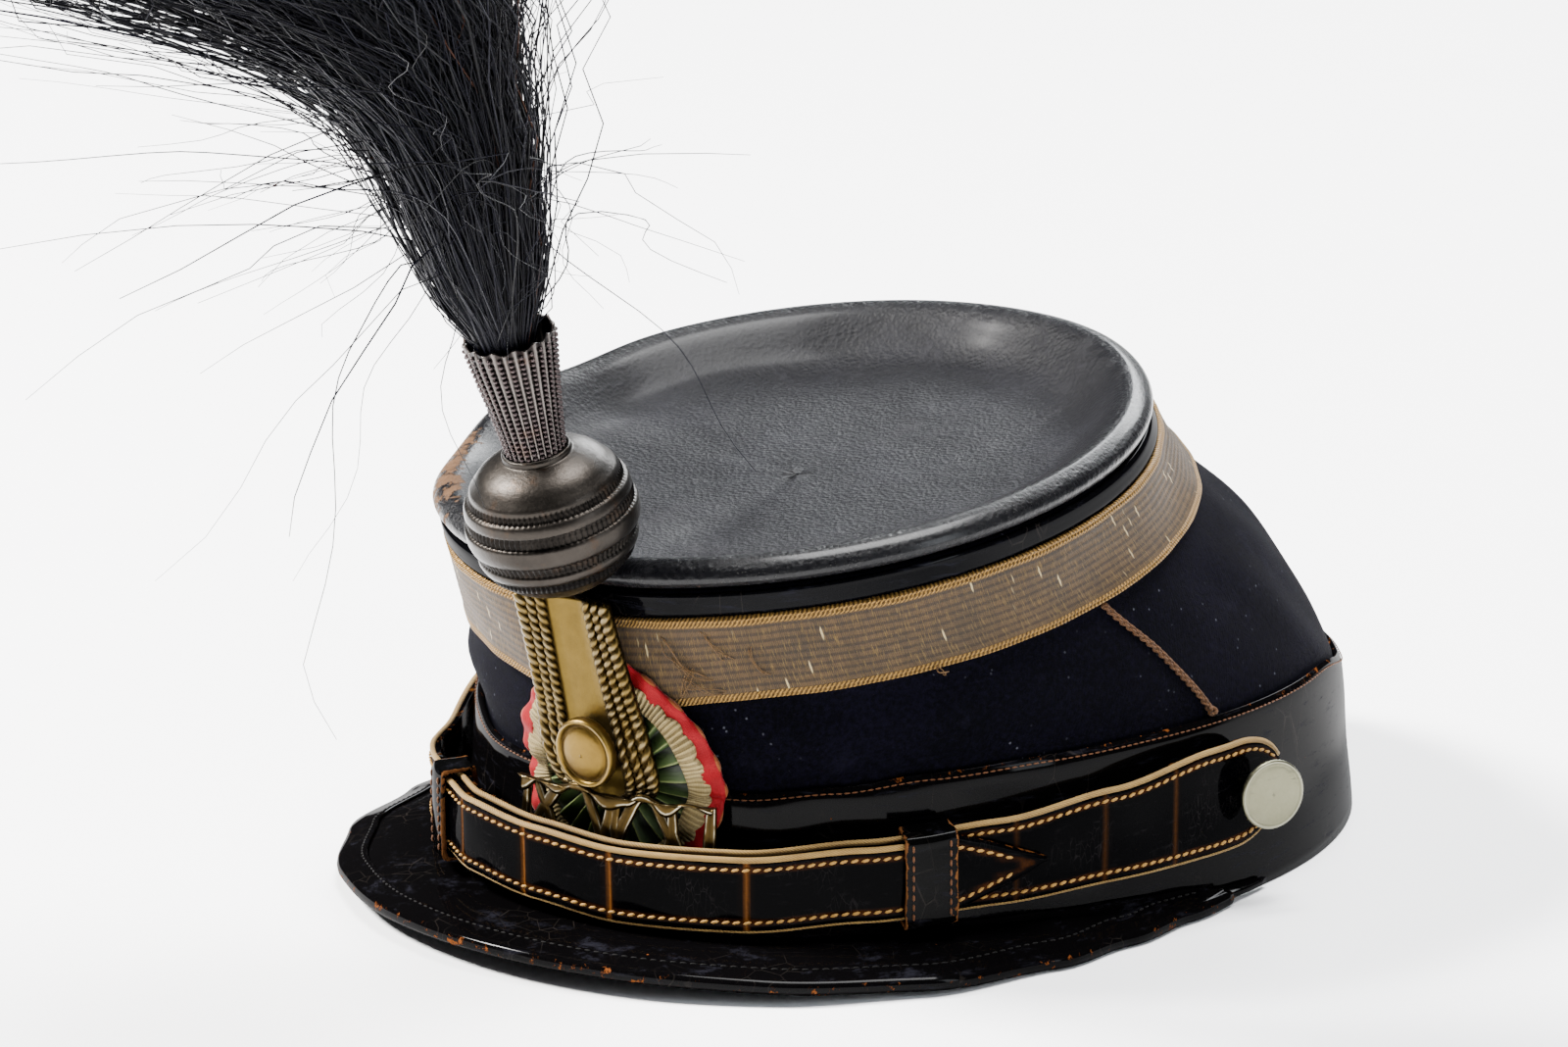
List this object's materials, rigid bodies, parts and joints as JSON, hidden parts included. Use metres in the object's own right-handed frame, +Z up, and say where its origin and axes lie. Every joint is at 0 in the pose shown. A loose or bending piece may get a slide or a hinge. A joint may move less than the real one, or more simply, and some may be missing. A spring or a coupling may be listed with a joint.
{
  "type": "kepi",
  "caption": "Kepi of dark blue cloth and black patent leather with a horsehair plume, a tricolour cockade, a brass loop plate and a leather chin strap.",
  "frame": {"origin": "middle of the hat's box, on the surface that it stands on", "axes": "+Z up, -Y towards the hat's front, +X towards the wearer's left"},
  "size_m": [0.1884, 0.3052, 0.2603],
  "materials": {
    "cloth": "dense fulled wool, dark blue",
    "patent_leather": "black varnish, worn at the edges",
    "dish_leather": "black grained leather, dulled varnish",
    "metal_lace": "woven metal lace, tarnished",
    "cord_wool": "braided cord",
    "red_silk": "pleated silk",
    "cream_lace": "cream cord lace",
    "green_silk": "pleated silk",
    "brass": "stamped, tarnished",
    "silvered_metal": "silvered, dark with tarnish",
    "pewter": "dull pale metal",
    "horsehair": "black horsehair"
  },
  "bodies": {
    "root": {"crown": "cloth", "head_band": "patent_leather", "peak": "patent_leather", "peak_binding": "patent_leather", "crown_top": "dish_leather", "top_collar": "patent_leather", "galloon": "metal_lace", "seam_cord_left": "cord_wool", "seam_cord_right": "cord_wool", "cockade_ring": "red_silk", "cockade_lace": "cream_lace", "cockade_heart": "green_silk", "loop_plate": "brass", "loop_button": "brass", "gallery": "brass", "plume_ball": "silvered_metal", "plume_sleeve": "silvered_metal", "plume": "horsehair", "strap_over": "patent_leather", "strap_under": "patent_leather", "keeper_left": "patent_leather", "keeper_right": "patent_leather", "button_left": "pewter", "button_right": "pewter"}
  },
  "joints": []
}
